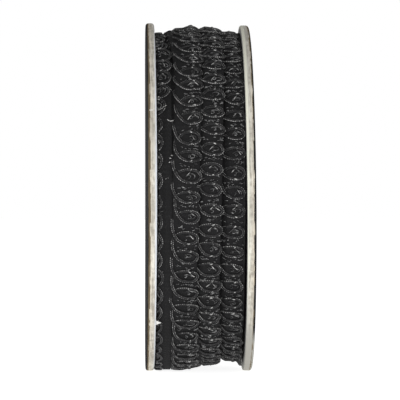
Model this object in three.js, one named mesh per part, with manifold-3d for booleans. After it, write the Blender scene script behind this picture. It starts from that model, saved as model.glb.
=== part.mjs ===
// Spool of braid trim: a narrow scroll braid wound between two round board flanges.
// Millimetres, +Z up. The spool's axis lies along X and the spool stands on the rims of its
// flanges, on the plane z = 0. Its front, which faces -Y, shows the braid edge to edge.

import * as THREE from "three";
import { mergeVertices } from "three/addons/utils/BufferGeometryUtils.js";
import Module from "manifold-3d";

// Flanges: discs die-cut from lined board, whose outer edge is rounded by the cut
const LEFT_RADIUS = 50;
const RIGHT_RADIUS = 49.7;
const FLANGE_THICKNESS = 2.45;
const OUTER_ROUND = 0.75;
const INNER_CHAMFER = 0.25;
const REST_DEPTH = 0.25; // how far the rim is worn flat where the spool stands
const RIM_SEGMENTS = 96;
const ROUND_STEPS = 3;

// Winding: what fills the space between the flanges
const SPOOL_WIDTH = 29.6;
const SIDE_GAP = 0.3;
const AXIS_HEIGHT = LEFT_RADIUS - REST_DEPTH;
const WINDING_WIDTH = SPOOL_WIDTH - 2 * FLANGE_THICKNESS - 2 * SIDE_GAP;
const FLOOR_CLEARANCE = 0.25;

// Braid: a flat ground that carries a running scroll of cord
const EDGE_DROP = 0.6;
const LOOP_PITCH = 5.6;
const LOOP_HALF_WIDTH = 2.6;
const LOOP_HALF_HEIGHT = 1.5;
const LOOP_OFFSET = 1.0; // from the braid's middle line to the middle of its loops
const CORD_RELIEF = 0.7;
const CORD_SPREAD = 0.38; // as a share of the loop's own half width
const LOOPS_PER_TURN = 54.25;

// Lay of the outer turns, counted in turns from the front of the first one
const FIRST_TURN_X = 7.9;
const TURN_SPACING = 6.2;
const BACK_SHARE = 0.75; // how much of the sideways step is taken behind the spool
const BRAID_START = -0.47;
const BRAID_END = 2.58;
const TURN_CREST = [
  { wound: -0.75, radius: 47.6 },
  { wound: -0.25, radius: 47.8 },
  { wound: 0.25, radius: 47.2 },
  { wound: 0.75, radius: 49.0 },
  { wound: 1.25, radius: 48.4 },
  { wound: 1.75, radius: 48.8 },
  { wound: 2.25, radius: 49.4 },
  { wound: 2.75, radius: 48.2 },
];
// Rise of a turn for each unit across: it climbs towards the side that laps its neighbour
const TURN_TILT = [
  { wound: -0.25, tilt: 0.06 },
  { wound: 0, tilt: 0.12 },
  { wound: 0.5, tilt: 0.08 },
  { wound: 0.75, tilt: -0.1 },
  { wound: 1, tilt: 0.12 },
  { wound: 1.25, tilt: -0.08 },
  { wound: 1.5, tilt: 0.08 },
  { wound: 1.75, tilt: 0.04 },
  { wound: 2, tilt: 0.12 },
  { wound: 2.25, tilt: -0.04 },
  { wound: 2.5, tilt: 0.08 },
];
// How far the turns wander sideways together, by the share of a turn below the front
const SIDE_DRIFT = [
  { below: -0.5, drift: 0 },
  { below: -0.25, drift: 0.3 },
  { below: -0.15, drift: 0.8 },
  { below: 0, drift: 0 },
  { below: 0.08, drift: -0.3 },
  { below: 0.25, drift: 1.5 },
  { below: 0.35, drift: 0.6 },
  { below: 0.5, drift: 0 },
];
const START_DRIFT = [
  { wound: -0.25, drift: -1.7 },
  { wound: -0.08, drift: 0 },
];
// Half width where the last turn's edge is pulled out, over the axis and under it
const LEFT_REACH = [
  { wound: 1.6, reach: 4.1 },
  { wound: 1.75, reach: 6.4 },
  { wound: 1.88, reach: 4.1 },
];
const RIGHT_REACH = [
  { wound: 2.1, reach: 4.1 },
  { wound: 2.25, reach: 5.7 },
  { wound: 2.4, reach: 4.1 },
];

// Layer beneath, which shows in a strip along the left flange: radius over and under the axis
const UNDER_LAYER = [
  { x: -12, over: 47.2, under: 49.0 },
  { x: -10.4, over: 47.0, under: 49.0 },
  { x: -9.2, over: 45.4, under: 49.0 },
  { x: -6, over: 45.4, under: 48.6 },
  { x: 4, over: 46.2, under: 46.2 },
  { x: 12, over: 46.6, under: 46.5 },
];
const UNDER_TURN_X = -11.6;

const AROUND = 216;
const ACROSS = 21;

const TURN = 2 * Math.PI;

// Value of a table's column at a place, with straight steps between its rows
function lookUp(rows, key, column, place) {
  const after = rows.findIndex((row) => row[key] >= place);
  if (after === 0) return rows[0][column];
  if (after < 0) return rows[rows.length - 1][column];
  const low = rows[after - 1];
  const high = rows[after];
  const share = (place - low[key]) / (high[key] - low[key]);
  return THREE.MathUtils.lerp(low[column], high[column], share);
}

// Height of the scroll over the braid's ground, by the distance across from the braid's middle
// line and by the loops counted along it
function scrollRelief(across, loops) {
  const along = (loops - Math.round(loops)) * LOOP_PITCH;
  const reach = Math.hypot((across - LOOP_OFFSET) / LOOP_HALF_WIDTH, along / LOOP_HALF_HEIGHT);
  return CORD_RELIEF * Math.exp(-(((reach - 1) / CORD_SPREAD) ** 2));
}

function turnMiddle(wound) {
  const behind = (BACK_SHARE * Math.sin(TURN * wound)) / TURN;
  const drift = lookUp(SIDE_DRIFT, "below", "drift", wound - Math.round(wound));
  const start = lookUp(START_DRIFT, "wound", "drift", wound);
  return FIRST_TURN_X - TURN_SPACING * (wound - behind) + drift + start;
}

// Half width of the braid on the side of its middle line that a point lies on
function braidReach(across, wound) {
  return lookUp(across < 0 ? LEFT_REACH : RIGHT_REACH, "wound", "reach", wound);
}

function braidSurface(across, wound) {
  const edge = EDGE_DROP * Math.abs(across / braidReach(across, wound)) ** 6;
  const crest = lookUp(TURN_CREST, "wound", "radius", wound);
  const tilt = lookUp(TURN_TILT, "wound", "tilt", wound);
  return crest + tilt * across - edge + scrollRelief(across, wound * LOOPS_PER_TURN);
}

function underSurface(x, angle) {
  const over = lookUp(UNDER_LAYER, "x", "over", x);
  const under = lookUp(UNDER_LAYER, "x", "under", x);
  const level = (over + under) / 2 + ((under - over) / 2) * Math.sin(angle);
  return level + scrollRelief(x - UNDER_TURN_X, (angle / TURN) * LOOPS_PER_TURN);
}

// Outer radius of the winding. The angle is 0 at the front and grows downwards, and each turn
// lies over the edge of the one before it.
function windingRadius(x, angle) {
  let radius = underSurface(x, angle);
  for (let turn = 0; turn <= Math.ceil(BRAID_END); turn += 1) {
    const wound = turn + angle / TURN;
    const across = x - turnMiddle(wound);
    const laid = wound > BRAID_START && wound < BRAID_END;
    if (laid && Math.abs(across) <= braidReach(across, wound)) radius = braidSurface(across, wound);
  }
  return Math.min(radius, AXIS_HEIGHT - FLOOR_CLEARANCE);
}

function windingGeometry() {
  const geometry = new THREE.CylinderGeometry(1, 1, WINDING_WIDTH, AROUND, ACROSS);
  geometry.rotateZ(-Math.PI / 2);
  const points = geometry.getAttribute("position");
  for (let i = 0; i < points.count; i += 1) {
    const x = points.getX(i);
    const y = points.getY(i);
    const z = points.getZ(i);
    const radius = windingRadius(x, Math.atan2(-z, -y));
    points.setXYZ(i, x, y * radius, z * radius);
  }
  geometry.computeVertexNormals();
  return geometry;
}

// Half section of a flange, from the middle of its inner face round the rim to its outer face
function flangeSection(radius) {
  const section = [
    new THREE.Vector2(0, 0),
    new THREE.Vector2(radius - INNER_CHAMFER, 0),
    new THREE.Vector2(radius, INNER_CHAMFER),
  ];
  for (let step = 0; step <= ROUND_STEPS; step += 1) {
    const turn = (step / ROUND_STEPS) * (Math.PI / 2);
    const out = radius - OUTER_ROUND + OUTER_ROUND * Math.cos(turn);
    const up = FLANGE_THICKNESS - OUTER_ROUND + OUTER_ROUND * Math.sin(turn);
    section.push(new THREE.Vector2(out, up));
  }
  section.push(new THREE.Vector2(0, FLANGE_THICKNESS));
  return section;
}

const wasm = await Module();
wasm.setup();

function toSolid(geometry) {
  const bare = geometry.clone();
  bare.deleteAttribute("normal");
  bare.deleteAttribute("uv");
  const merged = mergeVertices(bare, 1e-4);
  const corners = merged.getIndex().array;
  const kept = [];
  for (let i = 0; i < corners.length; i += 3) {
    const [a, b, c] = corners.slice(i, i + 3);
    if (a !== b && b !== c && c !== a) kept.push(a, b, c);
  }
  const vertProperties = new Float32Array(merged.getAttribute("position").array);
  const triVerts = new Uint32Array(kept);
  return new wasm.Manifold(new wasm.Mesh({ numProp: 3, vertProperties, triVerts }));
}

function toGeometry(solid) {
  const mesh = solid.getMesh();
  const geometry = new THREE.BufferGeometry();
  geometry.setAttribute("position", new THREE.BufferAttribute(mesh.vertProperties, 3));
  geometry.setIndex(new THREE.BufferAttribute(mesh.triVerts, 1));
  geometry.computeVertexNormals();
  return geometry;
}

// A flange with its inner face at x = 0, its outer face towards +X and its rim flat underneath
function flangeGeometry(radius) {
  const disc = new THREE.LatheGeometry(flangeSection(radius), RIM_SEGMENTS);
  disc.rotateZ(-Math.PI / 2);
  const ground = new THREE.BoxGeometry(SPOOL_WIDTH, 2 * radius, radius);
  ground.translate(0, 0, REST_DEPTH - radius - radius / 2);
  return toGeometry(toSolid(disc).subtract(toSolid(ground)));
}

const board = new THREE.MeshStandardMaterial({ color: 0xb4ada0, roughness: 0.9, metalness: 0 });
const yarn = new THREE.MeshStandardMaterial({ color: 0x1c1c1d, roughness: 0.85, metalness: 0 });

function namedMesh(name, geometry, material) {
  const mesh = new THREE.Mesh(geometry, material);
  mesh.name = name;
  return mesh;
}

const spool = new THREE.Group();

const left = namedMesh("flange_left", flangeGeometry(LEFT_RADIUS), board);
left.rotation.z = Math.PI;
left.position.set(FLANGE_THICKNESS - SPOOL_WIDTH / 2, 0, LEFT_RADIUS - REST_DEPTH);

const right = namedMesh("flange_right", flangeGeometry(RIGHT_RADIUS), board);
right.position.set(SPOOL_WIDTH / 2 - FLANGE_THICKNESS, 0, RIGHT_RADIUS - REST_DEPTH);

const winding = namedMesh("winding", windingGeometry(), yarn);
winding.position.set(0, 0, AXIS_HEIGHT);

spool.add(left, right, winding);

export default spool;
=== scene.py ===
"""Dresses the spool of braid trim: two board flanges and the scroll braid wound between them."""

from math import atan2, cos, pi, radians, sin, tau

import bmesh
import bpy
import numpy as np
from bpy.props import FloatProperty, FloatVectorProperty, IntProperty, PointerProperty
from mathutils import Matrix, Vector


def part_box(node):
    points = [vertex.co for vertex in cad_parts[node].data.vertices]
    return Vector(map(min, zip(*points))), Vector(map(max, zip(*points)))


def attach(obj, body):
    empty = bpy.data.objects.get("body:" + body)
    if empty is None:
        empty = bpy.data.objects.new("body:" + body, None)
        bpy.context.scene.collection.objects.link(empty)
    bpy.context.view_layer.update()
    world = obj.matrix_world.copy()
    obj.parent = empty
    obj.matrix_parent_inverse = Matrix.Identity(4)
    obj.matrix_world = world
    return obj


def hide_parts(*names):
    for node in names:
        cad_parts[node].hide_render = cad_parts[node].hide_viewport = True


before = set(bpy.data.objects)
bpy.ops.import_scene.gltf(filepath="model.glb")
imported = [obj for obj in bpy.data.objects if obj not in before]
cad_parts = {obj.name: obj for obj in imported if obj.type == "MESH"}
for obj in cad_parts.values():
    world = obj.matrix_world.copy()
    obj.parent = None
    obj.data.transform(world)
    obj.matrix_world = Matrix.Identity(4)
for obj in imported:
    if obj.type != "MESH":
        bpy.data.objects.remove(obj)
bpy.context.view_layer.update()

bl_info = {
    "name": "Spool of braid trim",
    "version": (1, 0, 0),
    "blender": (4, 5, 0),
    "location": "3D View > Sidebar > Braid Spool",
    "description": "Builds a spool of scroll braid between two board flanges",
    "category": "Add Mesh",
}

MM = 0.001
LEFT_LOW, LEFT_HIGH = (Vector(corner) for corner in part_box("flange_left"))
RIGHT_LOW, RIGHT_HIGH = (Vector(corner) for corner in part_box("flange_right"))
FLANGE_THICKNESS = LEFT_HIGH.x - LEFT_LOW.x
HALF_SPAN = RIGHT_LOW.x

# How each disc was cut: radii of its rim's outer and inner edge, and how far the black paper is
# rubbed past the start of the outer one
RIM_ROUND = {"left": 0.85 * MM, "right": 0.76 * MM}
INNER_ROUND = {"left": 0.80 * MM, "right": 0.45 * MM}
RUBBED_WIDTH = {"left": 0.76 * MM, "right": 0.08 * MM}

# How much painted shade darkens the cut board towards its top and towards its bottom, where
# the rim turns away from the front light
RIM_PAINTED_SHADE = {"left": (0.06, 0.10), "right": (0.34, 0.90)}

# The board has dried uneven: how far each disc leans along the axis at its top, and how far its
# top and bottom curl
DISC_LEAN = {"left": 0.0, "right": -0.45 * MM}
DISC_CURL = {"left": -0.35 * MM, "right": 0.0}

# How far the paper is folded over the rounded rim, and in how many steps
FOLD_ANGLE = radians(84)
FOLD_STEPS = 6


class Flange:
    """One flange's place, from its CAD box. Outward is the way its outer face looks, 1 or -1."""

    def __init__(self, side, low, high, outward):
        self.side, self.low, self.outward = side, low, outward
        self.inner_x, self.outer_x = (low.x, high.x) if outward > 0 else (high.x, low.x)
        self.radius = (high.y - low.y) / 2
        self.axis_z = high.z - self.radius

    def shift(self, height):
        """How far the disc stands out of true along the axis, at a share of its radius up."""
        return DISC_LEAN[self.side] * height + DISC_CURL[self.side] * height**2


LEFT = Flange("left", LEFT_LOW, LEFT_HIGH, -1)
RIGHT = Flange("right", RIGHT_LOW, RIGHT_HIGH, 1)
AXIS_Z = LEFT.axis_z


class BraidSizes(bpy.types.PropertyGroup):
    """Sizes of the braid and of the way it is wound"""
    loops_per_turn: FloatProperty(
        name="Loops per turn", description="Scroll loops in one turn of the spool", default=54.4)
    cord_width: FloatProperty(
        name="Cord width", description="Width of the scroll cord", default=0.72 * MM, unit="LENGTH")
    cord_height: FloatProperty(
        name="Cord height", description="Thickness of the scroll cord", default=0.60 * MM,
        unit="LENGTH")
    turn_spacing: FloatProperty(
        name="Turn spacing", description="Sideways step from one turn to the next",
        default=6.2 * MM, unit="LENGTH")
    unevenness: FloatProperty(
        name="Unevenness", description="How much one loop differs from the next", default=1.0,
        min=0, max=2)
    seed: IntProperty(name="Seed", description="Seed of the unevenness", default=7)
    yarn: FloatVectorProperty(
        name="Yarn", description="Colour of the braid's yarn", default=(0.0168, 0.0168, 0.0173),
        subtype="COLOR", min=0, max=1)
    # Pale colour of dust and of the painted sheen highlight on the cord's crests and the thread's
    # bends
    dust_and_sheen_yarn: FloatVectorProperty(
        name="Rubbed yarn", description="Colour of the crests of the scroll cord",
        default=(0.60, 0.595, 0.585), subtype="COLOR", min=0, max=1)
    raised_yarn: FloatVectorProperty(
        name="Raised yarn", description="Colour of loose fibres that catch dust and light",
        default=(0.055, 0.055, 0.055), subtype="COLOR", min=0, max=1)


class BoardSizes(bpy.types.PropertyGroup):
    """Sizes and colours of the flanges"""
    facing: FloatProperty(
        name="Facing", description="Thickness of the black paper on the outer face",
        default=0.14 * MM, unit="LENGTH")
    rim_segments: IntProperty(
        name="Rim segments", description="Steps round the rim", default=240, min=24)
    board: FloatVectorProperty(
        name="Greyboard", description="Colour of the cut board", default=(0.73, 0.72, 0.66),
        subtype="COLOR", min=0, max=1)
    fibre: FloatVectorProperty(
        name="Dark fibre", description="Colour of the darker fibres in the board",
        default=(0.33, 0.30, 0.25), subtype="COLOR", min=0, max=1)
    tanned_board: FloatVectorProperty(
        name="Tanned board", description="Colour of the board towards its outer edge",
        default=(0.66, 0.60, 0.49), subtype="COLOR", min=0, max=1)
    # Also the colour of the painted shade towards the top and bottom of each rim
    soil_and_shade: FloatVectorProperty(
        name="Soiled board", description="Colour of the board where it has been handled",
        default=(0.36, 0.35, 0.315), subtype="COLOR", min=0, max=1)
    cool_liner: FloatVectorProperty(
        name="Left liner", description="Colour of the pale paper at the left flange's inner edge",
        default=(0.76, 0.79, 0.84), subtype="COLOR", min=0, max=1)
    warm_liner: FloatVectorProperty(
        name="Right liner", description="Colour of the pale paper at the right flange's inner edge",
        default=(0.73, 0.73, 0.62), subtype="COLOR", min=0, max=1)
    lining: FloatVectorProperty(
        name="Inner face", description="Colour of the paper on the inner face",
        default=(0.34, 0.34, 0.335), subtype="COLOR", min=0, max=1)
    paper: FloatVectorProperty(
        name="Black paper", description="Colour of the paper on the outer face",
        default=(0.015, 0.015, 0.016), subtype="COLOR", min=0, max=1)
    worn_paper: FloatVectorProperty(
        name="Rubbed paper", description="Colour where the black paper is rubbed at its edge",
        default=(0.150, 0.115, 0.068), subtype="COLOR", min=0, max=1)


class StudioSizes(bpy.types.PropertyGroup):
    """Camera, lights and floor"""
    camera_side: FloatProperty(
        name="Camera side", description="Camera's place along the spool's axis",
        default=-22.8 * MM, unit="LENGTH")
    camera_distance: FloatProperty(
        name="Camera distance", description="Camera's distance in front of the axis",
        default=925 * MM, unit="LENGTH")
    lens: FloatProperty(name="Lens", description="Focal length in millimetres", default=288.9)
    aim_side: FloatProperty(
        name="Aim side", description="Where the camera looks along the axis",
        default=0.6 * MM, unit="LENGTH")
    aim_height: FloatProperty(
        name="Aim height", description="Height that the camera looks at", default=48.9 * MM,
        unit="LENGTH")
    floor_colour: FloatVectorProperty(
        name="Floor", description="Colour of the floor", default=(0.62, 0.62, 0.62),
        subtype="COLOR", min=0, max=1)
    floor_glow: FloatProperty(
        name="Floor glow", description="Light that comes up through the floor", default=0.88)
    fill: FloatProperty(
        name="Fill", description="Strength of the light from all round", default=0.41)
    front: FloatProperty(
        name="Front light", description="Watts of the soft light beside the camera", default=6.3)
    sides: FloatProperty(
        name="Side lights", description="Watts of each soft light at the side", default=0.9)


# The lay of the outer turns, counted in turns from the front of the first one
FIRST_TURN_X = 7.9 * MM
BACK_SHARE = 0.75
BRAID_START = -0.47
BRAID_END = 2.58
TURN_CREST = [
    (-0.75, 47.6), (-0.25, 47.6), (0.25, 47.2), (0.75, 49.0),
    (1.25, 48.5), (1.75, 48.4), (2.25, 49.5), (2.75, 48.2),
]

# How far each turn rises towards its right edge, for each unit across, where it passes over
# the top, the front and the underside
TURN_LEAN = [
    (-0.50, 0.05), (-0.25, 0.06), (0.00, 0.12), (0.25, 0.08), (0.50, 0.08), (0.75, -0.12),
    (1.00, 0.12), (1.25, -0.08), (1.50, 0.08), (1.75, 0.04), (2.00, 0.12), (2.25, -0.16),
    (2.50, 0.08),
]

# How far all the turns wander sideways together, by the share of a turn below the front, and
# how far the first turn stands to the left where the braid starts
SIDE_DRIFT = [
    (-0.50, 0.0), (-0.25, 0.3), (-0.15, 0.8), (-0.05, 0.4), (0.00, 0.0), (0.06, -0.4),
    (0.10, -0.2), (0.19, 0.7), (0.25, 1.5), (0.35, 0.6), (0.50, 0.0),
]
START_DRIFT = [(-0.47, -1.2), (-0.25, -1.7), (-0.08, 0.0)]

# Half width of the braid, in millimetres, and its reach to the left and to the right where the
# last turn is pulled wide over the top and underneath. Over the top it is also crowned by a knot
HALF_WIDTH = 4.1
LEFT_REACH = [(1.60, HALF_WIDTH), (1.75, 6.9), (1.88, HALF_WIDTH)]
RIGHT_REACH = [(2.10, HALF_WIDTH), (2.25, 5.7), (2.40, HALF_WIDTH)]
CROWN = [(1.66, 0.0), (1.75, 0.95), (1.84, 0.0)]
CROWN_MIDDLE = 1.0 * MM
CROWN_WIDTH = 2.0 * MM

# How bright the painted sheen of the cords and threads is: less, as painted shade, where they
# turn away from the light over the top and underneath
SHINE = [
    (-0.25, 0.55), (-0.15, 0.9), (0.08, 1.0), (0.16, 0.5), (0.30, 0.4), (0.75, 0.65),
    (0.85, 1.0), (1.10, 1.0), (1.18, 0.6), (1.30, 0.5), (1.75, 0.65), (1.85, 1.0), (2.12, 1.0),
    (2.20, 0.8), (2.30, 0.7),
]

# The braid's edge is rounded down, and a turn is pressed down where the next one laps over it
EDGE_DROP = 1.15 * MM
LAP_DROP = 1.0 * MM
LAP_START = 0.8 * MM
LAP_WIDTH = 1.6 * MM

# Near the right flange, underneath, the braid gives way sideways and is turned up, each by a
# share of how far it is inside this margin
WALL_MARGIN = 1.8 * MM
WALL_GIVE = 0.22
WALL_RISE = 0.75

# Where some of the loops lie, by their number and by turns wound: the braid gives a little, so
# the loops of one turn sit a bit closer than those of the next
LOOP_PLACES = [(-135, -0.4832), (-108, 0.0149), (-54, 1.0122), (0, 2.0), (33, 2.6066)]
TUCKED_LOOPS = [(-30, -0.5475), (30, 0.5555)]

# The turn of the layer beneath that is tucked against the left flange, by turns below the
# front: where its middle lies, how far it stands from the axis and where its right edge lies.
# Then its rise for each unit across, and the gap between its folded edge and the flange
TUCKED_MIDDLE = [
    (-0.50, -13.3), (-0.25, -14.3), (-0.20, -14.1), (-0.16, -12.0), (-0.11, -12.2),
    (-0.08, -14.4), (0.00, -14.9), (0.25, -14.4), (0.50, -13.3)]
TUCKED_RADIUS = [
    (-0.50, 47.3), (-0.25, 47.3), (-0.12, 47.0), (0.00, 47.4), (0.25, 49.8), (0.50, 47.3)]
TUCKED_EDGE = [(-0.50, -8.1), (-0.25, -10.4), (-0.20, -10.2), (-0.16, -8.4), (0.00, -8.1)]
TUCKED_LEAN = 0.04
TUCKED_GAP = 0.42 * MM

# Layer beneath, along the axis: radius over and under the axis
UNDER_OVER = [(-9.4, 45.9), (-7.0, 45.3), (4.0, 45.4), (10.2, 46.0), (11.2, 46.8)]
UNDER_UNDER = [(-9.4, 47.8), (-7.4, 47.6), (4.0, 45.4), (10.0, 45.6), (11.8, 46.8)]

# Pale stray fibres: place along the axis, turns above the front, length, distance from the axis,
# slope and half thickness
FLECKS = [
    (-8.3, 0.0713, 1.0, 48.3, -0.1, 0.07), (-9.2, 0.0722, 0.7, 48.2, 0.7, 0.07),
    (4.4, 0.1700, 0.5, 48.3, 0.3, 0.07), (-8.3, 0.0381, 0.4, 48.0, 0.4, 0.07),
    (-8.7, 0.0359, 0.4, 47.6, 0.2, 0.07), (-8.9, 0.0321, 0.4, 47.5, -0.4, 0.07),
    (-9.0, 0.0184, 0.5, 47.4, -0.3, 0.07), (-9.5, 0.0176, 0.4, 47.4, 0.1, 0.07),
    (-9.9, 0.0166, 0.4, 47.4, -0.5, 0.07), (-13.9, 0.0793, 1.0, 49.99, 0.0, 0.14),
    (-11.3, 0.0844, 1.3, 47.9, -0.5, 0.04), (-10.2, 0.0874, 1.2, 47.9, -0.4, 0.04),
]

# The torn flap of the left flange's liner that lies on the braid: place along the axis, turns
# above the front, length, distance from the axis and half width at its root
LINER_FLAP = (-11.75, -0.125, 1.5, 49.30, 1.0)

# One loop of the scroll cord, in millimetres from the middle of its loop: across the braid,
# along it, how far the cord rides up where it crosses itself, and how much of the painted sheen
# of its inner rib shows
SCROLL_ROUTE = [
    (-4.42, -5.70, -0.62, 0.9),
    (-4.56, -4.30, -0.10, 1.0),
    (-4.42, -2.80, 0.22, 1.0),
    (-3.92, -1.25, 0.40, 1.0),
    (-2.95, 0.25, 0.34, 0.8),
    (-1.55, 1.20, 0.18, 0.35),
    (0.20, 1.52, 0.12, 0.1),
    (1.90, 1.22, 0.12, 0.2),
    (2.80, 0.15, 0.14, 0.55),
    (2.15, -1.05, 0.12, 0.45),
    (0.50, -1.58, 0.10, 0.1),
    (-1.25, -1.58, 0.05, 0.1),
    (-2.50, -1.22, -0.10, 0.1),
    (-3.25, -0.62, -0.46, 0.1),
]
LOOP_OFFSET = 1.0 * MM
STEPS_PER_POINT = 5
MEAN_RADIUS = 48.5 * MM

# The scroll cord: sides of its section, and its length from one pinch and one wrap to the next
CORD_SIDES = 12
PINCH_SPACING = 1.15 * MM
WRAP_SPACING = 0.56 * MM

# Sewing thread: where it crosses the lower and the upper arc of a loop, and where its legs start,
# in millimetres along the braid
LOOP_ARCS = (-1.55, 1.52)
LEG_START = -1.25

# The knitted ground: steps and stitches along it for each loop, points across it, ribs on each
# side of its middle, how far it stays inside the braid's reach, its thickness, and how high its
# stitches and ribs stand
GROUND_STEPS = 14
GROUND_STITCHES = 4
GROUND_POINTS = 23
GROUND_RIBS = 3.3
GROUND_MARGIN = 0.35 * MM
GROUND_THICKNESS = 0.55 * MM
STITCH_RELIEF = 0.055 * MM
RIB_RELIEF = 0.09 * MM

# The layer beneath: steps round it and points across it, loops in one turn, knitted ribs from
# one point across to the next, height of its scroll, and the radius that it reaches down to
UNDER_AROUND = 432
UNDER_ACROSS = 61
UNDER_LOOPS = 54
UNDER_RIBS = 0.35
UNDER_RELIEF = 0.45 * MM
UNDER_INNER_RADIUS = 38 * MM


class Shade:
    """A shader socket that takes part in Python expressions, inside one material's node tree."""

    def __init__(self, tree, socket=None):
        self.tree, self.socket = tree, socket

    def node(self, kind, settings=None, **inputs):
        """Adds a node, sets its settings, feeds its sockets and gives back its first output.

        A socket is called by its name, or by an underscore and its number."""
        node = self.tree.nodes.new(kind)
        for name, value in (settings or {}).items():
            setattr(node, name, value)
        for name, value in inputs.items():
            key = int(name[1:]) if name[1:].isdigit() else name.replace("_", " ")
            self.feed(node.inputs[key], value)
        return Shade(self.tree, node.outputs[0])

    def feed(self, socket, value):
        """Links a value that changes to a socket, or sets the socket to a plain number."""
        if isinstance(value, Shade):
            self.tree.links.new(value.socket, socket)
        else:
            socket.default_value = value

    def output(self, key):
        """Another output of this value's node, by its name or number."""
        return Shade(self.tree, self.socket.node.outputs[key])

    def maths(self, operation, first, second=0.0):
        return self.node("ShaderNodeMath", {"operation": operation}, _0=first, _1=second)

    def __add__(self, other):
        return self.maths("ADD", self, other)

    __radd__ = __add__

    def __sub__(self, other):
        return self.maths("SUBTRACT", self, other)

    def __rsub__(self, other):
        return self.maths("SUBTRACT", other, self)

    def __mul__(self, other):
        return self.maths("MULTIPLY", self, other)

    __rmul__ = __mul__

    def __truediv__(self, other):
        return self.maths("DIVIDE", self, other)

    def __pow__(self, other):
        return self.maths("POWER", self, other)

    def clamped(self, low, high):
        """This value from low to high, spread over 0 to 1 with soft ends."""
        settings = {"interpolation_type": "SMOOTHSTEP"}
        return self.node(
            "ShaderNodeMapRange", settings, Value=self, From_Min=low, From_Max=high)

    def blend(self, first, second):
        """A value that goes from first to second as this value goes from 0 to 1."""
        return first + (second - first) * self

    def wave(self):
        return self.maths("SINE", self)

    def cosine(self):
        return self.maths("COSINE", self)

    def size(self):
        return self.maths("ABSOLUTE", self)

    def mix(self, first, second):
        """A colour that goes from first to second as this value goes from 0 to 1."""
        first, second = (
            value if isinstance(value, Shade) else (*value, 1) for value in (first, second))
        mixed = self.node("ShaderNodeMix", {"data_type": "RGBA"}, _0=self, _6=first, _7=second)
        return mixed.output(2)

    def noise(self, scale, detail=2.0, roughness=0.5):
        return self.node(
            "ShaderNodeTexNoise", Vector=self, Scale=scale, Detail=detail, Roughness=roughness)

    def stretched(self, along_x, along_y, along_z):
        scale = (along_x, along_y, along_z)
        return self.node("ShaderNodeMapping", Vector=self, Scale=scale)

    def parts(self):
        split = self.node("ShaderNodeSeparateXYZ", Vector=self)
        return split.output("X"), split.output("Y"), split.output("Z")


def new_material(name):
    """An empty material, and the place coordinates that its patterns follow."""
    material = bpy.data.materials.new(name)
    material.use_nodes = True
    return material, Shade(material.node_tree).node("ShaderNodeTexCoord").output("Object")


def finish_surface(material, colour, roughness, height, relief, **even):
    """Feeds the surface shader with what changes over the surface, where relief is the bumps'
    height in millimetres, and sets what is even all over on the shader's own sockets."""
    shader = material.node_tree.nodes["Principled BSDF"]
    bump = colour.node("ShaderNodeBump", Height=height, Distance=relief * MM, Strength=1.0)
    for name, value in (("Base Color", colour), ("Roughness", roughness), ("Normal", bump)):
        colour.feed(shader.inputs[name], value)
    for name, value in even.items():
        shader.inputs[name.replace("_", " ")].default_value = value
    return material


def map_parts(place, label):
    """The two parts of a piece's own map: along and around the strand, or its ribs' sheen."""
    return place.node("ShaderNodeUVMap", {"uv_map": label}).parts()[:2]


def yarn_fibres(place):
    """Fine fibres of a yarn."""
    return place.noise(2600.0, 3.0, 0.6)


def cord_material(yarn, raised):
    """The scroll cord: two ribs of black yarn, whose crests are painted paler at every stitch, with
    dust and a painted sheen highlight.
    """
    material, place = new_material("scroll_yarn")
    along, around = map_parts(place, "Strand")
    inner_sheen, outer_sheen = map_parts(place, "Sheen")
    side = (around * tau).cosine()
    rib = side.clamped(-0.3, 0.3).blend(inner_sheen, outer_sheen)
    crest = rib * (1.0 - (side.size() - 0.78).size().clamped(0.06, 0.26))
    tick = ((along * tau + around * (1.6 * tau)).wave() * 0.5 + 0.5) ** 2.0
    fibres = yarn_fibres(place)
    patches = place.noise(850.0, 3.0, 0.6)
    # Painted sheen highlight along the rib crests, broken by dust patches; raised is its pale
    # colour
    wear_and_sheen = crest * (tick * 1.4 + 0.12) * (patches * 0.9 + fibres * 0.5).clamped(0.56, 0.86)
    roughness = 0.62 - fibres * 0.20 - tick * 0.08
    return finish_surface(
        material, wear_and_sheen.mix(yarn, raised), roughness, tick * 0.7 + fibres * 0.4, 0.08,
        Specular_IOR_Level=0.14)


def yarn_material(yarn, raised):
    """Fine black yarn: wraps across the strand, raised fibres gone paler, and a painted highlight
    along the middle of each strand.
    """
    material, place = new_material("curl_yarn")
    along, around = map_parts(place, "Strand")
    wrap = (along * tau + around * (2 * tau)).wave()
    fibres = yarn_fibres(place)
    patches = place.noise(420.0, 2.0, 0.5)
    dusty = (fibres * 0.6 + patches * 0.6 + wrap * 0.10).clamped(0.46, 0.86)
    # Painted highlight, brightest in the middle of each strand
    shown = (along * (pi / 4)).wave() * 0.75 + 0.25
    roughness = 0.60 - fibres * 0.24 - wrap * 0.05
    return finish_surface(
        material, (dusty * shown).mix(yarn, raised), roughness, wrap * 0.5 + fibres * 0.5, 0.06,
        Specular_IOR_Level=0.20)


def stitch_material(yarn, raised):
    """Glossy sewing thread: a painted highlight where it bends over, dark at its ends."""
    material, place = new_material("stitch_yarn")
    along, around = map_parts(place, "Strand")
    # Painted highlight, brightest where the thread bends over; raised is its pale colour of dust
    # and sheen
    bright = (along * (pi / 4)).wave()
    fibres = yarn_fibres(place)
    patches = place.noise(520.0, 2.0, 0.5)
    colour = (bright * (patches + fibres * 0.5)).clamped(0.35, 0.95).mix(yarn, raised)
    return finish_surface(
        material, colour, 0.45 - fibres * 0.15, fibres, 0.04, Specular_IOR_Level=0.4)


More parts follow.
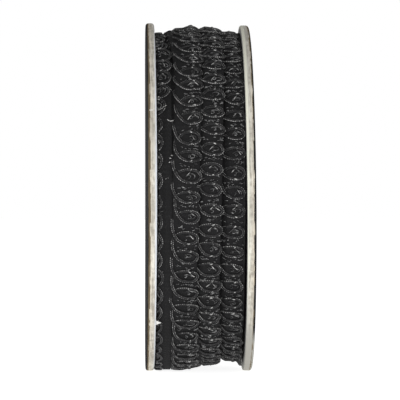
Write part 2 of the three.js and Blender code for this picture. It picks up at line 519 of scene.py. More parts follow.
def knit_material(yarn, raised):
    """The dull black ground that carries the scroll, knitted in fine ribs."""
    material, place = new_material("ground_yarn")
    along, across = map_parts(place, "Strand")
    lean = (across * tau).wave().size() * 0.5
    stitch = ((along + lean) * tau).wave()
    fibres = place.noise(3000.0, 3.0, 0.6)
    patches = place.noise(210.0, 2.0, 0.5)
    colour = (fibres * 0.55 + stitch * 0.06 + patches * 0.35).clamped(0.45, 0.95).mix(yarn, raised)
    return finish_surface(
        material, colour, 0.88 - fibres * 0.18, stitch * 0.5 + fibres * 0.6, 0.08,
        Specular_IOR_Level=0.06)


def flange_parts(place, flange):
    """Where a point lies on a flange: how far in from its inner face, in millimetres, its height
    over the axis and its distance from the axis, both in shares of the radius."""
    x, y, z = place.parts()
    depth = (x - flange.inner_x) * (flange.outward / MM)
    up = z - flange.axis_z
    return depth, up / flange.radius, (y * y + up * up) ** 0.5 / flange.radius


def board_material(flange, sizes):
    """Cut greyboard: pressed layers run round the rim, and a pale liner closes the inner side."""
    material, place = new_material("flange_" + flange.side)
    depth, up, reach = flange_parts(place, flange)
    layers = place.stretched(2400.0, 160.0, 160.0).noise(1.0, 3.0, 0.6)
    flock = place.noise(620.0, 4.0, 0.65)
    stains = place.noise(75.0, 3.0, 0.6)
    grain = (layers * 0.55 + flock * 0.45).clamped(0.38, 0.60)
    tanned = (depth + stains * 1.2).clamped(0.9, 2.6)
    board = grain.mix(sizes.fibre, tanned.mix(sizes.board, sizes.tanned_board))
    soiled = (stains * 1.2 + flock * 0.3).clamped(0.60, 0.95)
    # Real handling stains in patches, and painted shade that darkens the rim towards its top and
    # its bottom
    top, bottom = RIM_PAINTED_SHADE[flange.side]
    far = up.clamped(0.40, 0.95) * top + (up * -1.0).clamped(0.40, 0.95) * bottom
    board = (soiled * 0.4 + far).mix(board, sizes.soil_and_shade)
    edge = sizes.warm_liner if flange.side == "right" else sizes.cool_liner
    # The liner's pale edge takes the same painted shade
    liner = reach.clamped(0.975, 0.992).mix(sizes.lining, far.mix(edge, sizes.soil_and_shade))
    pale = 1.0 - (depth + flock * 0.5 + stains * 0.3).clamped(0.68, 1.04)
    dark = (depth + flock * 0.5).clamped(2.20, 2.42)
    colour = dark.mix(pale.mix(board, liner), sizes.worn_paper)
    return finish_surface(
        material, colour, 0.93 - flock * 0.12, layers * 0.6 + flock * 0.8, 0.16,
        Specular_IOR_Level=0.15)


def paper_material(flange, sizes):
    """Black paper facing, rubbed brown where it turns over the rim."""
    material, place = new_material("facing_" + flange.side + "_paper")
    depth, up, reach = flange_parts(place, flange)
    grain = place.noise(1500.0, 4.0, 0.6)
    scuffs = place.stretched(40.0, 420.0, 90.0).noise(1.0, 3.0, 0.6)
    patches = place.noise(95.0, 3.0, 0.6)
    wander = grain * 0.3 + patches * 0.4 - 0.35
    rub_depth = FLANGE_THICKNESS - RIM_ROUND[flange.side] + RUBBED_WIDTH[flange.side]
    edge = 1.0 - (depth + wander).clamped(rub_depth / MM - 0.08, rub_depth / MM + 0.08)
    edge = edge * reach.clamped(0.972, 0.982)
    wear_and_sheen = edge * 0.75 + (scuffs * 0.5 + grain * 0.5).clamped(0.54, 0.74) * 0.20
    colour = wear_and_sheen.clamped(0.0, 1.0).mix(sizes.paper, sizes.worn_paper)
    if flange.side == "right":
        low = (patches * 0.2 - up).clamped(0.80, 0.92)
        bare = low * (reach + grain * 0.01).clamped(0.990, 0.996)
        colour = bare.mix(colour, sizes.soil_and_shade)
    roughness = 0.60 + grain * 0.16 + patches * 0.12 + reach.clamped(0.97, 1.0) * 0.10
    return finish_surface(
        material, colour, roughness, grain * 0.6 + scuffs * 0.5, 0.05, Specular_IOR_Level=0.03)


def lint_material():
    """Pale stray fibres."""
    material, place = new_material("lint")
    fuzz = place.noise(2400.0, 3.0, 0.6)
    colour = fuzz.clamped(0.3, 0.7).mix((0.50, 0.49, 0.47), (0.80, 0.80, 0.78))
    return finish_surface(
        material, colour, 0.9 - fuzz * 0.2, fuzz, 0.03, Specular_IOR_Level=0.3,
        Sheen_Weight=0.2)


def floor_material(colour, glow):
    """White translucent table top, lit a little from beneath as in a product studio."""
    material, place = new_material("floor")
    mottle = place.noise(12.0, 2.0, 0.5)
    tint = mottle.mix(tuple(colour), tuple(min(1.0, part * 1.03) for part in colour))
    return finish_surface(
        material, tint, 0.9 - mottle * 0.05, mottle, 0.1, Specular_IOR_Level=0.1,
        Emission_Color=(1, 1, 1, 1), Emission_Strength=glow)


def studio_world(fill):
    """White surroundings: a bright backdrop to the eye, and a dimmer fill light on the object."""
    world = bpy.data.worlds.new("studio")
    world.use_nodes = True
    back = world.node_tree.nodes["Background"]
    back.inputs["Color"].default_value = (1, 1, 1, 1)
    seen = Shade(world.node_tree).node("ShaderNodeLightPath").output("Is Camera Ray")
    seen.feed(back.inputs["Strength"], seen * (1.0 - fill) + fill)
    return world


def look_up(table, place):
    """Values of a table at a place or an array of places, with straight steps between its rows."""
    places, values = np.array(table).T
    return np.interp(place, places, values)


def turn_middle(wound, spacing):
    """Where the middle of an outer turn lies along the axis."""
    below_front = (wound + 0.5) % 1 - 0.5
    step = spacing * (wound - BACK_SHARE * np.sin(tau * wound) / tau)
    drift = look_up(SIDE_DRIFT, below_front) + look_up(START_DRIFT, wound)
    return FIRST_TURN_X - step + drift * MM


def braid_reach(wound):
    """How far the braid reaches to the left and to the right of its middle line."""
    return look_up(LEFT_REACH, wound) * MM, look_up(RIGHT_REACH, wound) * MM


def outer_turn(sizes):
    """The lay of the outer turns: gives place along the axis and radius for points of the braid."""
    def lay(wound, across):
        wander = 0.10 * MM * np.sin(11.3 * wound) + 0.07 * MM * np.sin(37.1 * wound + 1.0)
        x = turn_middle(wound, sizes.turn_spacing) + across + wander
        reach = np.where(across < 0, *braid_reach(wound))
        edge = EDGE_DROP * np.abs(across / reach) ** 5
        lean = look_up(TURN_LEAN, wound) * across
        knot = np.exp(-((across - CROWN_MIDDLE) / CROWN_WIDTH) ** 2)
        lapped = np.clip((-across - LAP_START) / LAP_WIDTH, 0, 1) * (wound < BRAID_END - 1)
        wall = HALF_SPAN + RIGHT.shift(-np.sin(tau * wound))
        over = np.maximum(x - wall + WALL_MARGIN, 0)
        risen = over * np.clip(1.5 * np.sin(tau * wound), 0, 1)
        edge = edge * (1 - np.clip(risen / WALL_MARGIN * 1.5, 0, 1))
        crest = (look_up(TURN_CREST, wound) + look_up(CROWN, wound) * knot) * MM
        radius = crest + lean - edge - LAP_DROP * lapped + WALL_RISE * risen
        return x - WALL_GIVE * over, radius
    return lay


def tucked_turn(wound, across):
    """The lay of the turn that is tucked against the left flange, its far edge folded down."""
    x = look_up(TUCKED_MIDDLE, wound) * MM + across
    radius = look_up(TUCKED_RADIUS, wound) * MM + TUCKED_LEAN * across
    wall = -HALF_SPAN + LEFT.shift(-np.sin(tau * wound)) + TUCKED_GAP
    hidden = np.maximum(wall - x, 0)
    return np.maximum(x, wall), radius - hidden


def to_world(x, radius, wound, limit=AXIS_Z - 0.12 * MM):
    """Points of the winding, from place along the axis, radius and turns wound. The limit on the
    radius keeps the braid off the floor."""
    angle = tau * wound
    radius = np.minimum(radius, limit)
    return np.stack([x, -radius * np.cos(angle), AXIS_Z - radius * np.sin(angle)], axis=-1)


def mesh_from(name, points, quads, strand, sheen=None):
    """A mesh object from arrays of points and four-cornered faces, with its maps by corner.

    What would hang lower than the flanges is pressed flat on the floor."""
    points = np.array(points)
    points[:, 2] = np.maximum(points[:, 2], LEFT_LOW.z)
    mesh = bpy.data.meshes.new(name)
    mesh.vertices.add(len(points))
    mesh.vertices.foreach_set("co", points.astype(np.float32).ravel())
    mesh.loops.add(quads.size)
    mesh.loops.foreach_set("vertex_index", quads.astype(np.int32).ravel())
    mesh.polygons.add(len(quads))
    mesh.polygons.foreach_set("loop_start", np.arange(0, quads.size, 4, dtype=np.int32))
    for label, corners in (("Strand", strand), ("Sheen", sheen)):
        if corners is not None:
            layer = mesh.uv_layers.new(name=label)
            layer.uv.foreach_set("vector", corners.astype(np.float32).ravel())
    mesh.update(calc_edges=True)
    mesh.validate()
    mesh.shade_smooth()
    piece = bpy.data.objects.new(name, mesh)
    bpy.context.scene.collection.objects.link(piece)
    return piece


def smooth_route(points, steps):
    """A smooth curve through points, with the given number of steps between each two."""
    before = np.vstack([2 * points[:1] - points[1:2], points[:-1]])[:-1]
    start, end = points[:-1], points[1:]
    after = np.vstack([points[2:], 2 * points[-1:] - points[-2:-1]])
    t = (np.arange(steps) / steps)[None, :, None]
    a, b, c, d = (part[:, None, :] for part in (before, start, end, after))
    curve = 0.5 * (
        2 * b + (c - a) * t + (2 * a - 5 * b + 4 * c - d) * t**2
        + (3 * b - a - 3 * c + d) * t**3)
    return np.vstack([curve.reshape(-1, points.shape[1]), points[-1:]])


def unit(vectors):
    """Vectors of the same directions, one long."""
    return vectors / np.maximum(np.linalg.norm(vectors, axis=-1, keepdims=True), 1e-12)


def ring_faces(rings, along, around):
    """Faces between rings of points, and their corners on the map.

    Along is the map's value at each ring, with one more where the last ring joins the first.
    Around is its value at each point of a ring, with one more where the ring joins itself."""
    columns = len(around) - 1
    row, column = np.meshgrid(np.arange(len(along) - 1), np.arange(columns), indexing="ij")
    places = ((0, 0), (1, 0), (1, 1), (0, 1))
    quads = np.stack([
        (row + onward) % rings * columns + (column + aside) % columns
        for onward, aside in places], axis=-1)
    corners = np.stack([
        np.stack([along[row + onward], around[column + aside]], axis=-1)
        for onward, aside in places], axis=2)
    return quads.reshape(-1, 4), corners.reshape(-1, 4, 2)


def closed_faces(rings, along, around):
    """Faces between rings, and faces in bands that close the first and the last ring.

    A ring with an odd number of points keeps one corner of its end open."""
    quads, corners = ring_faces(rings, along, around)
    columns = len(around) - 1
    band = np.arange(columns // 2 - 1)
    first = np.stack([band, band + 1, columns - 2 - band, columns - 1 - band], axis=-1)
    last = first[:, ::-1] + (rings - 1) * columns
    ends = np.zeros((2 * len(band), 4, 2))
    return np.vstack([quads, first, last]), np.vstack([corners, ends])


def sweep(route, ups, section, along):
    """Points and faces of a strand: a section carried along a route, with closed ends.

    The section is an array of side and up offsets for each step. Along is the count of wraps
    at each step, for the strand's map."""
    count, sides = section.shape[:2]
    ahead = unit(np.gradient(route, axis=0))
    side = unit(np.cross(ahead, ups))
    up = np.cross(side, ahead)
    rings = route[:, None] + section[..., :1] * side[:, None] + section[..., 1:] * up[:, None]
    quads, corners = closed_faces(count, along, np.arange(sides + 1) / sides)
    outwards = [0, 3, 2, 1]
    return rings.reshape(-1, 3), quads[:, outwards], corners[:, outwards]


def short_strand(route, up, section, shown=1.0):
    """A short thin strand, mapped by its own length. Shown is how far its map runs, from 0 to 1;
    the curl and stitch materials paint it as the strength of their highlight.
    """
    return sweep(route, up, section, np.linspace(0, 4 * shown, len(route)))


def join_strands(strands):
    """Joins swept strands into one set of points, faces and map corners."""
    points, quads, corners = zip(*strands)
    starts = np.cumsum([0] + [len(part) for part in points[:-1]])
    quads = [faces + start for faces, start in zip(quads, starts)]
    return np.vstack(points), np.vstack(quads), np.vstack(corners)


def ribbed_section(steps, width, height, sides, beat):
    """Section of the scroll cord: two round ribs side by side, each pinched at every stitch."""
    angle = np.arange(sides) * tau / sides
    side, up = np.cos(angle), np.sin(angle)
    groove = 0.42 * np.exp(-((side / 0.40) ** 2)) * (up > 0)
    pinch = 1 + 0.08 * np.cos(tau * beat)[:, None] * np.abs(side)[None, :]
    across = side[None, :] * pinch * width / 2
    lift = (up - groove)[None, :] * pinch * height / 2
    return np.stack([np.broadcast_to(across, (steps, sides)), lift], axis=-1)


def round_section(steps, radius, sides):
    """Section of a round thread, the same at every step."""
    angle = np.arange(sides) * tau / sides
    ring = np.stack([np.cos(angle), np.sin(angle)], axis=-1) * radius
    return np.broadcast_to(ring, (steps, sides, 2))


class Scroll:
    """The loops of one stretch of braid: where each lies, and how it differs from the next."""

    def __init__(self, sizes, lay, start, end, places, seed, stretch):
        self.sizes, self.lay, self.start, self.end = sizes, lay, start, end
        self.random = np.random.default_rng(seed)
        loops, turns = np.array(places).T
        first = int(np.ceil(np.interp(start, turns, loops)))
        last = int(np.floor(np.interp(end, turns, loops)))
        count = last - first + 1
        uneven = sizes.unevenness
        drift = self.random.normal(0, 0.045 * uneven, count)
        self.middles = np.interp(np.arange(first, last + 1) + drift, loops, turns)
        self.pitch = tau * MEAN_RADIUS / sizes.loops_per_turn
        self.shift = self.random.normal(0, 0.13 * uneven, count) * MM
        self.wide = 1 + self.random.normal(0, 0.045 * uneven, count)
        self.tall = stretch * (1 + self.random.normal(0, 0.085 * uneven, count))
        self.turned = self.random.normal(0, radians(4.5) * uneven, count)
        self.raised = self.random.normal(0, 0.06 * uneven, count) * MM

    def wound_at(self, along):
        """Turns wound at a distance along the braid, counted from the first loop."""
        return np.interp(
            along / self.pitch, np.arange(-2, len(self.middles) + 2),
            np.concatenate([
                self.middles[0] - np.array([2, 1]) / self.sizes.loops_per_turn,
                self.middles,
                self.middles[-1] + np.array([1, 2]) / self.sizes.loops_per_turn]))

    def shaped(self, loop, route):
        """A loop's own copy of a route, which is in metres from the middle of a loop."""
        turn = self.turned[loop]
        across, along = route[:, 0] * self.wide[loop], route[:, 1] * self.tall[loop]
        tail = np.clip(-route[:, 1] / self.pitch - 0.25, 0, 0.75)
        along = along * (1 - tail) + route[:, 1] * tail
        return np.stack([
            across * cos(turn) - along * sin(turn) * 0.6 + LOOP_OFFSET + self.shift[loop],
            along * cos(turn) + across * sin(turn) * 0.6 + loop * self.pitch,
            route[:, 2] + self.raised[loop]], axis=-1)

    def placed(self, route):
        """A flat route of across, along and lift laid on the winding, and the way up along it."""
        wound = self.wound_at(route[:, 1])
        x, radius = self.lay(wound, route[:, 0])
        points = to_world(x, radius + route[:, 2] - self.sizes.cord_height / 2, wound)
        out = points - np.stack([x, np.zeros_like(x), np.full_like(x, AXIS_Z)], axis=-1)
        return points, unit(out)

    def thread(self, loop, route, radius, shown):
        """A fine thread by one loop: its route, from the loop's middle, and its radius are in
        millimetres. Shown is how bright its painted highlight gets, from 0 to 1."""
        route, up = self.placed(self.shaped(loop, route * MM))
        shown = shown * look_up(SHINE, self.middles[loop])
        return short_strand(route, up, round_section(len(route), radius * MM, 5), shown)

    def cord_route(self):
        """The scroll cord's whole route through all the loops, and the painted sheen of its two
        ribs.
        """
        loop = np.array(SCROLL_ROUTE)
        count = len(self.middles)
        points = np.vstack([self.shaped(n, loop * MM) for n in range(count)])
        # Painted sheen of the two ribs, random from loop to loop and dimmer where the loops turn
        # away from the light
        inner = np.outer(self.random.uniform(0.6, 1.15, count), loop[:, 3])
        sheen = np.stack([inner, np.full_like(inner, 0.92)], axis=-1)
        sheen *= look_up(SHINE, self.middles)[:, None, None]
        route = smooth_route(np.hstack([points, sheen.reshape(-1, 2)]), STEPS_PER_POINT)
        return route[:, :3], route[:, 3:]


def scroll_cord(scroll):
    """The ribbed cord that draws the scroll."""
    sizes = scroll.sizes
    flat, sheen = scroll.cord_route()
    route, up = scroll.placed(flat)
    length = np.concatenate([[0], np.cumsum(np.linalg.norm(np.diff(route, axis=0), axis=1))])
    section = ribbed_section(
        len(route), sizes.cord_width, sizes.cord_height, CORD_SIDES, length / PINCH_SPACING)
    points, quads, strand = sweep(route, up, section, length / WRAP_SPACING)
    return points, quads, strand, np.repeat(sheen, CORD_SIDES, axis=0)[quads.ravel()]


def stitch_threads(scroll):
    """The sewing thread: a stitch over each arc of a loop, and legs that run down inside it."""
    strands = []
    random = scroll.random
    bend = np.linspace(-pi / 2, pi / 2, 7)
    share = np.linspace(0, 1, 6)
    for n in range(1, len(scroll.middles)):
        seam = random.normal(0.3, 0.16)
        for along in LOOP_ARCS:
            if random.random() < 0.1:
                continue
            lean, half = random.normal(0, 0.45), random.uniform(0.18, 0.50)
            over = np.stack([
                seam + half * np.sin(bend) * cos(lean), along + half * np.sin(bend) * sin(lean),
                0.24 + 0.18 * np.cos(bend)], axis=-1)
            strands.append(scroll.thread(
                n, over, shown=random.uniform(0.25, 1.0), radius=random.uniform(0.11, 0.16)))
        for side, chance in ((1, 0.7), (-1, 0.35)):
            if random.random() > chance:
                continue
            foot = (seam + side * random.uniform(0.9, 1.7), random.uniform(-0.5, 0.45))
            hop = 0.30 * np.sin(pi * share) - 0.08
            leg = np.stack([
                seam + (foot[0] - seam) * share, LEG_START + (foot[1] - LEG_START) * share,
                hop], axis=-1)
            strands.append(scroll.thread(
                n, leg, shown=random.uniform(0.15, 1.0), radius=random.uniform(0.07, 0.11)))
    return join_strands(strands)


def inner_curls(scroll):
    """The thin cord's small curls inside each loop, and the loose knots between the loops."""
    strands = []
    random = scroll.random
    for n in range(len(scroll.middles)):
        begin, bow = random.uniform(-2.9, -2.2), random.uniform(2.4, 4.6)
        bend = np.linspace(begin, begin + bow, 12)
        middle = (random.normal(0.5, 0.25), random.normal(-0.05, 0.12))
        curl = np.stack([
            middle[0] + random.uniform(0.9, 1.5) * np.cos(bend),
            middle[1] + random.uniform(0.42, 0.72) * np.sin(bend),
            0.02 + 0.10 * np.sin(np.linspace(0, pi, 12))], axis=-1)
        strands.append(scroll.thread(
            n, curl, radius=random.uniform(0.11, 0.16), shown=random.uniform(0, 0.5)))
        bend = np.linspace(begin, begin + 4.8, 10)
        ring = np.stack([
            random.normal(-0.1, 0.35) + random.uniform(0.30, 0.55) * np.cos(bend),
            random.normal(0.05, 0.15) + random.uniform(0.25, 0.42) * np.sin(bend),
            np.full(10, 0.06)], axis=-1)
        strands.append(scroll.thread(
            n, ring, radius=random.uniform(0.08, 0.12), shown=random.uniform(0.1, 0.9)))
        spots = [(random.uniform(-3.0, 2.8), random.normal(2.75, 0.38)) for _ in range(9)]
        pulled = float(look_up(LEFT_REACH, scroll.middles[n])) - HALF_WIDTH
        spots += [
            (-4.7 - random.uniform(0, pulled), random.uniform(0, 5.6))
            for _ in range(int(7 * pulled))]
        for across, along in spots:
            lean, half = random.uniform(-0.7, 0.7), random.uniform(0.16, 0.5)
            bend = np.linspace(-1, 1, 6)
            knot = np.stack([
                across + half * bend * cos(lean), along + half * bend * sin(lean) * 0.7,
                -0.12 + 0.26 * (1 - bend**2)], axis=-1)
            radius = random.uniform(0.08, 0.14)
            # Strength of the knot's painted highlight, dimmer beside the braid's left edge
            shown = random.uniform(0.4, 1) if across > -3.5 else random.uniform(0, 0.3)
            strands.append(scroll.thread(n, knot, radius, shown))
    return join_strands(strands)


def ground_strip(scroll):
    """The knitted ground under the scroll: a thin strip with rounded edges and ribs of stitches."""
    sizes = scroll.sizes
    around = int((scroll.end - scroll.start) * sizes.loops_per_turn * GROUND_STEPS)
    wound = np.linspace(scroll.start, scroll.end, around)
    top = np.linspace(-1, 1, GROUND_POINTS)
    share = np.concatenate([top, top[::-1]])
    under = np.repeat([0.0, 1.0], GROUND_POINTS)
    left, right = (reach - GROUND_MARGIN for reach in braid_reach(wound))
    if scroll.lay is tucked_turn:
        right = (look_up(TUCKED_EDGE, wound) - look_up(TUCKED_MIDDLE, wound)) * MM
    across = (right - left)[:, None] / 2 + (right + left)[:, None] / 2 * share
    ribs = GROUND_RIBS * share
    stitches = wound * sizes.loops_per_turn * GROUND_STITCHES
    furrow = np.abs(np.sin(pi * ribs))
    knit = np.cos(tau * (stitches[:, None] + 0.5 * furrow)) * STITCH_RELIEF
    relief = (knit + RIB_RELIEF * furrow) * (1 - under)
    relief = relief + 0.42 * MM * np.clip((np.abs(across) - 3.9 * MM) / (0.8 * MM), 0, 1)
    depth = sizes.cord_height - 0.08 * MM + GROUND_THICKNESS * under
    spread_wound = np.broadcast_to(wound[:, None], knit.shape)
    edge = 0.05 * MM * np.sin(tau * stitches)[:, None] * np.sign(share)
    x, radius = scroll.lay(spread_wound, across + edge)
    points = to_world(x, radius - depth + relief, spread_wound).reshape(-1, 3)
    return points, *closed_faces(around, stitches, np.append(ribs, ribs[0]))


def under_surface(sizes):
    """The layer beneath: it fills the space between the flanges and has the scroll's relief."""
    wound = np.linspace(-0.5, 0.5, UNDER_AROUND, endpoint=False)[:, None]
    limit = HALF_SPAN - 0.45 * MM
    x = np.linspace(-limit, limit, UNDER_ACROSS)
    over, under = (look_up(table, x / MM) * MM for table in (UNDER_OVER, UNDER_UNDER))
    level = (over + under) / 2 + (under - over) / 2 * np.sin(tau * wound)
    loops = wound * UNDER_LOOPS + 0.4 * x / sizes.turn_spacing
    place = (x / sizes.turn_spacing + wound + 100) % 1 - 0.5
    reach = np.hypot(place / 0.42, (loops - np.round(loops)) / 0.27)
    radius = level + UNDER_RELIEF * np.exp(-(((reach - 1) / 0.35) ** 2))
    inner = np.full((UNDER_AROUND, 2), UNDER_INNER_RADIUS)
    x, radius, wound = np.broadcast_arrays(
        np.append(x, x[[-1, 0]]), np.hstack([radius, inner]), wound)
    along = np.linspace(-0.5, 0.5, UNDER_AROUND + 1) * UNDER_LOOPS * GROUND_STITCHES
    around = np.arange(UNDER_ACROSS + 3) * UNDER_RIBS
    return to_world(x, radius, wound).reshape(-1, 3), *ring_faces(UNDER_AROUND, along, around)


def finish_piece(piece, material, replaced=()):
    """Gives a piece its only material, puts it on the body and hides the CAD parts that it
    replaces.
    """
    piece.data.materials.clear()
    piece.data.materials.append(material)
    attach(piece, "root")
    if replaced:
        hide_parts(*replaced)


def begin_piece(name):
    """Names the new primitive, settles its place in its mesh and opens it in edit mode."""
    piece = bpy.context.active_object
    piece.name = piece.data.name = name
    bpy.ops.object.transform_apply(location=True, rotation=True, scale=True)
    bpy.ops.object.mode_set(mode="EDIT")
    bpy.ops.mesh.select_mode(type="FACE")
    return piece


def select_parts(mesh, kind, chosen):
    """In edit mode: selects the faces or the edges for which chosen is true."""
    bpy.ops.mesh.select_mode(type=kind)
    bpy.ops.mesh.select_all(action="DESELECT")
    shape = bmesh.from_edit_mesh(mesh)
    for part in shape.faces if kind == "FACE" else shape.edges:
        if chosen(part):
            part.select_set(True)
    shape.select_flush(True)
    bmesh.update_edit_mesh(mesh)


def inset_faces(*steps):
    """In edit mode: insets the selected faces ring by ring, by steps in millimetres."""
    for step in steps:
        bpy.ops.mesh.inset(thickness=step * MM)


def trim_at_floor(flange, closed):
    """Cuts off what would reach below the floor, merges doubles and leaves edit mode."""
    bpy.ops.mesh.select_all(action="SELECT")
    bpy.ops.mesh.bisect(
        plane_co=(0, 0, flange.low.z), plane_no=(0, 0, 1), use_fill=closed, clear_inner=True)
    bpy.ops.mesh.select_all(action="SELECT")
    bpy.ops.mesh.remove_doubles(threshold=0.01 * MM)
    bpy.ops.mesh.normals_make_consistent(inside=False)
    bpy.ops.object.mode_set(mode="OBJECT")


def settle_disc(piece, flange):
    """Leans and curls a disc out of true, keeps it above the floor and smooths its rounds."""
    mesh = piece.data
    points = np.empty(len(mesh.vertices) * 3, dtype=np.float32)
    mesh.vertices.foreach_get("co", points)
    points = points.reshape(-1, 3)
    points[:, 0] += flange.shift((points[:, 2] - AXIS_Z) / LEFT.radius)
    points[:, 2] = np.maximum(points[:, 2], LEFT_LOW.z)
    mesh.vertices.foreach_set("co", points.ravel())
    mesh.update()
    bpy.ops.object.shade_smooth_by_angle(angle=radians(40))


def flange_disc(flange, sizes):
    """A board disc by hand: a short cylinder whose rim is rounded outside and eased inside."""
    thickness = FLANGE_THICKNESS - sizes.facing
    middle_x = flange.inner_x + flange.outward * thickness / 2
    bpy.ops.object.select_all(action="DESELECT")
    bpy.ops.mesh.primitive_cylinder_add(
        vertices=sizes.rim_segments, radius=flange.radius, depth=thickness,
        location=(middle_x, 0, flange.axis_z), rotation=(0, pi / 2, 0))
    disc = begin_piece("disc_" + flange.side)
    outer_round = RIM_ROUND[flange.side] - sizes.facing
    rounds = ((flange.outward, outer_round, 5), (-flange.outward, INNER_ROUND[flange.side], 4))
    for way, offset, segments in rounds:
        select_parts(disc.data, "FACE", lambda face: face.normal.x * way > 0.9)
        bpy.ops.mesh.bevel(offset=offset, segments=segments, profile=0.5)
    for way in (1, -1):
        select_parts(disc.data, "FACE", lambda face: face.normal.x * way > 0.999)
        inset_faces(1.4, 6.0, 12.0, 14.0)
    trim_at_floor(flange, closed=True)
    settle_disc(disc, flange)
    finish_piece(
        disc, board_material(flange, sizes), ("flange_" + flange.side,))


def flange_facing(flange, sizes):
    """The black paper: a filled circle, folded over the rounded rim in steps, then thickened."""
    round_edge = RIM_ROUND[flange.side]
    flat_radius = flange.radius - round_edge

    def on_rim(edge):
        reach = [np.hypot(corner.co.y, corner.co.z - flange.axis_z) for corner in edge.verts]
        return min(reach) > flat_radius - 0.2 * MM

    bpy.ops.object.select_all(action="DESELECT")
    bpy.ops.mesh.primitive_circle_add(
        vertices=sizes.rim_segments, radius=flat_radius, fill_type="NGON",
        location=(flange.outer_x, 0, flange.axis_z), rotation=(0, flange.outward * pi / 2, 0))
    facing = begin_piece("facing_" + flange.side)
    bpy.ops.mesh.select_all(action="SELECT")
    inset_faces(5.0, 12.0, 14.0)
    select_parts(facing.data, "EDGE", on_rim)
    out, back = 0.0, 0.0
    for step in range(1, FOLD_STEPS + 1):
        turn = step / FOLD_STEPS * FOLD_ANGLE
        next_out, next_back = round_edge * sin(turn), round_edge * (1 - cos(turn))
        bpy.ops.mesh.extrude_region_move(
            TRANSFORM_OT_translate={"value": (-flange.outward * (next_back - back), 0, 0)})
        scale = (flat_radius + next_out) / (flat_radius + out)
        bpy.ops.transform.resize(
            value=(1, scale, scale), center_override=(flange.outer_x, 0, flange.axis_z),
            orient_type="GLOBAL")
        out, back = next_out, next_back
    trim_at_floor(flange, closed=False)
    turn_outwards(facing, flange.outward)
    fray_edge(facing, flange, FLANGE_THICKNESS - 0.55 * round_edge)
    paper = facing.modifiers.new("Paper", "SOLIDIFY")
    paper.thickness, paper.offset = sizes.facing, -1
    bpy.context.view_layer.objects.active = facing
    bpy.ops.object.modifier_apply(modifier=paper.name)
    settle_disc(facing, flange)
    finish_piece(facing, paper_material(flange, sizes))


def turn_outwards(piece, outward):
    """Flips an open shell if its flat face looks inwards."""
    lean = sum(face.normal.x * face.area for face in piece.data.polygons)
    if lean * outward < 0:
        piece.data.flip_normals()


def fray_edge(piece, flange, depth):
    """Makes the paper's cut edge, which lies within a depth of the flange's inner face, wander by
    tenths of a millimetre."""
    for vertex in piece.data.vertices:
        if (vertex.co.x - flange.inner_x) * flange.outward < depth:
            angle = atan2(vertex.co.z - AXIS_Z, vertex.co.y)
            wave = 0.5 * sin(23 * angle + 0.7) + 0.3 * sin(61 * angle) + 0.2 * sin(119 * angle)
            vertex.co.x -= flange.outward * 0.16 * MM * wave
    piece.data.update()


class BRAIDSPOOL_OT_flanges(bpy.types.Operator):
    """Adds the two board flanges with their black paper facings"""
    bl_idname = "braidspool.flanges"
    bl_label = "Flanges"

    def execute(self, context):
        for flange in (LEFT, RIGHT):
            flange_disc(flange, context.scene.braidspool_board)
            flange_facing(flange, context.scene.braidspool_board)
        return {"FINISHED"}


def braid_stretches(sizes):
    """The stretches of braid: name, lay, start and end, loops' places, seed and loops' height."""
    seed = sizes.seed
    lay = outer_turn(sizes)
    return (
        ("third", lay, BRAID_START, 0.52, LOOP_PLACES, seed, 1.0),
        ("second", lay, 0.52, 1.52, LOOP_PLACES, seed + 1, 1.0),
        ("first", lay, 1.52, BRAID_END, LOOP_PLACES, seed + 2, 1.0),
        ("tucked", tucked_turn, -0.498, 0.498, TUCKED_LOOPS, seed + 3, 1.75),
    )


class BRAIDSPOOL_OT_braid(bpy.types.Operator):
    """Adds the wound braid: its knitted ground, its scroll cord, its curls and its stitches"""
    bl_idname = "braidspool.braid"
    bl_label = "Braid"

    def execute(self, context):
        sizes = context.scene.braidspool_braid
        # The pale yarn colour is dust and painted sheen, for the cord's crests and the thread's
        # bends
        yarn, raised, wear_and_sheen = tuple(sizes.yarn), tuple(sizes.raised_yarn), tuple(sizes.dust_and_sheen_yarn)
        knit = knit_material(tuple(part * 0.9 for part in yarn), raised)
        layers = (
            ("ground_", ground_strip, knit),
            ("scroll_", scroll_cord, cord_material(yarn, wear_and_sheen)),
            ("curls_", inner_curls, yarn_material(yarn, tuple(part * 8.0 for part in raised))),
            ("stitches_", stitch_threads, stitch_material(raised, wear_and_sheen)),
        )
        under = mesh_from("under_layer", *under_surface(sizes))
        finish_piece(under, knit, ("winding",))
        for label, *stretch in braid_stretches(sizes):
            scroll = Scroll(sizes, *stretch)
            for kind, shape, material in layers:
                piece = mesh_from(kind + label, *shape(scroll))
                finish_piece(piece, material, ("winding",))
        return {"FINISHED"}


class BRAIDSPOOL_OT_lint(bpy.types.Operator):
    """Adds the few pale stray fibres that cling to the spool, and a torn flap of the liner"""
    bl_idname = "braidspool.lint"
    bl_label = "Lint"

    def execute(self, context):
        ring = round_section(9, 1.0, 6)
        bend = np.linspace(-1, 1, 9)
        strands = []
        for x, above, length, level, lean, thickness in FLECKS:
            wound = bend * length * sin(lean) / (2 * tau * level) - above
            radius = (level + 0.06 * np.sin(bend * 3)) * MM
            route = to_world((x + bend * length / 2 * cos(lean)) * MM, radius, wound, LEFT_HIGH.y)
            strands.append(short_strand(route, route - (0, 0, AXIS_Z), ring * thickness * MM))
        x, above, length, level, wide = LINER_FLAP
        route = to_world((x + bend * length / 2) * MM, level * MM, np.full(9, -above))
        taper = np.stack([wide * (1.05 - bend) / 2, np.full(9, 0.06)], axis=-1) * MM
        strands.append(short_strand(route, route - (0, 0, AXIS_Z), ring * taper[:, None]))
        lint = mesh_from("lint", *join_strands(strands))
        finish_piece(lint, lint_material())
        return {"FINISHED"}


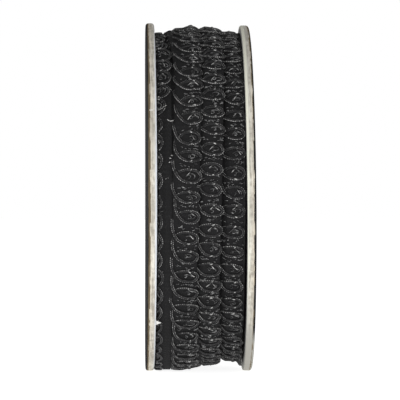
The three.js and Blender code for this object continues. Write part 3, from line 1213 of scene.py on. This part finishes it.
def add_area_light(name, place, size, power):
    """A soft rectangular light that looks at the middle of the spool."""
    lamp = bpy.data.lights.new(name, "AREA")
    lamp.shape = "RECTANGLE"
    lamp.size, lamp.size_y = size
    lamp.energy = power
    light = bpy.data.objects.new(name, lamp)
    light.location = place
    look = Vector((0, 0, AXIS_Z)) - Vector(place)
    light.rotation_euler = look.to_track_quat("-Z", "Y").to_euler()
    bpy.context.scene.collection.objects.link(light)


class BRAIDSPOOL_OT_stage(bpy.types.Operator):
    """Adds the floor, the soft lights and the camera at the photograph's viewing angle"""
    bl_idname = "braidspool.stage"
    bl_label = "Stage"

    def execute(self, context):
        sizes = context.scene.braidspool_studio
        bpy.ops.object.select_all(action="DESELECT")
        bpy.ops.mesh.primitive_plane_add(size=12, location=(0, 0, 0))
        floor = context.active_object
        floor.name = floor.data.name = "floor"
        floor.data.materials.append(floor_material(sizes.floor_colour, sizes.floor_glow))
        context.scene.world = studio_world(sizes.fill)
        context.scene.view_settings.view_transform = "Standard"
        add_area_light("front_light", (-0.12, -1.15, 0.16), (0.55, 0.45), sizes.front)
        add_area_light("left_light", (-0.75, -0.55, 0.20), (0.25, 0.6), sizes.sides)
        add_area_light("right_light", (0.75, -0.55, 0.20), (0.25, 0.6), sizes.sides)
        camera = bpy.data.cameras.new("camera")
        camera.lens = sizes.lens
        camera.sensor_width = 36
        camera.clip_end = 50
        view = bpy.data.objects.new("camera", camera)
        view.location = (sizes.camera_side, -sizes.camera_distance, AXIS_Z)
        aim = Vector((sizes.aim_side, 0, sizes.aim_height))
        view.rotation_euler = (aim - view.location).to_track_quat("-Z", "Y").to_euler()
        context.scene.collection.objects.link(view)
        context.scene.camera = view
        return {"FINISHED"}


class BRAIDSPOOL_PT_panel(bpy.types.Panel):
    """Lists the spool's steps in the sidebar"""
    bl_idname = "BRAIDSPOOL_PT_panel"
    bl_label = "Braid Spool"
    bl_space_type = "VIEW_3D"
    bl_region_type = "UI"
    bl_category = "Braid Spool"

    def draw(self, context):
        layout = self.layout
        for step in STEPS:
            layout.operator(step.bl_idname)
        for label in SIZE_GROUPS:
            group = getattr(context.scene, label)
            box = layout.box()
            for name in group.bl_rna.properties.keys():
                if name not in ("rna_type", "name"):
                    box.prop(group, name)


STEPS = (
    BRAIDSPOOL_OT_flanges,
    BRAIDSPOOL_OT_braid,
    BRAIDSPOOL_OT_lint,
    BRAIDSPOOL_OT_stage,
)
SIZE_GROUPS = {
    "braidspool_braid": BraidSizes,
    "braidspool_board": BoardSizes,
    "braidspool_studio": StudioSizes,
}
CLASSES = (*SIZE_GROUPS.values(), *STEPS, BRAIDSPOOL_PT_panel)


def register():
    for kind in CLASSES:
        bpy.utils.register_class(kind)
    for label, group in SIZE_GROUPS.items():
        setattr(bpy.types.Scene, label, PointerProperty(type=group))


def unregister():
    for label in SIZE_GROUPS:
        delattr(bpy.types.Scene, label)
    for kind in reversed(CLASSES):
        bpy.utils.unregister_class(kind)


def main():
    register()
    bpy.ops.braidspool.flanges()
    bpy.ops.braidspool.braid()
    bpy.ops.braidspool.lint()
    bpy.ops.braidspool.stage()


if __name__ == "__main__":
    main()
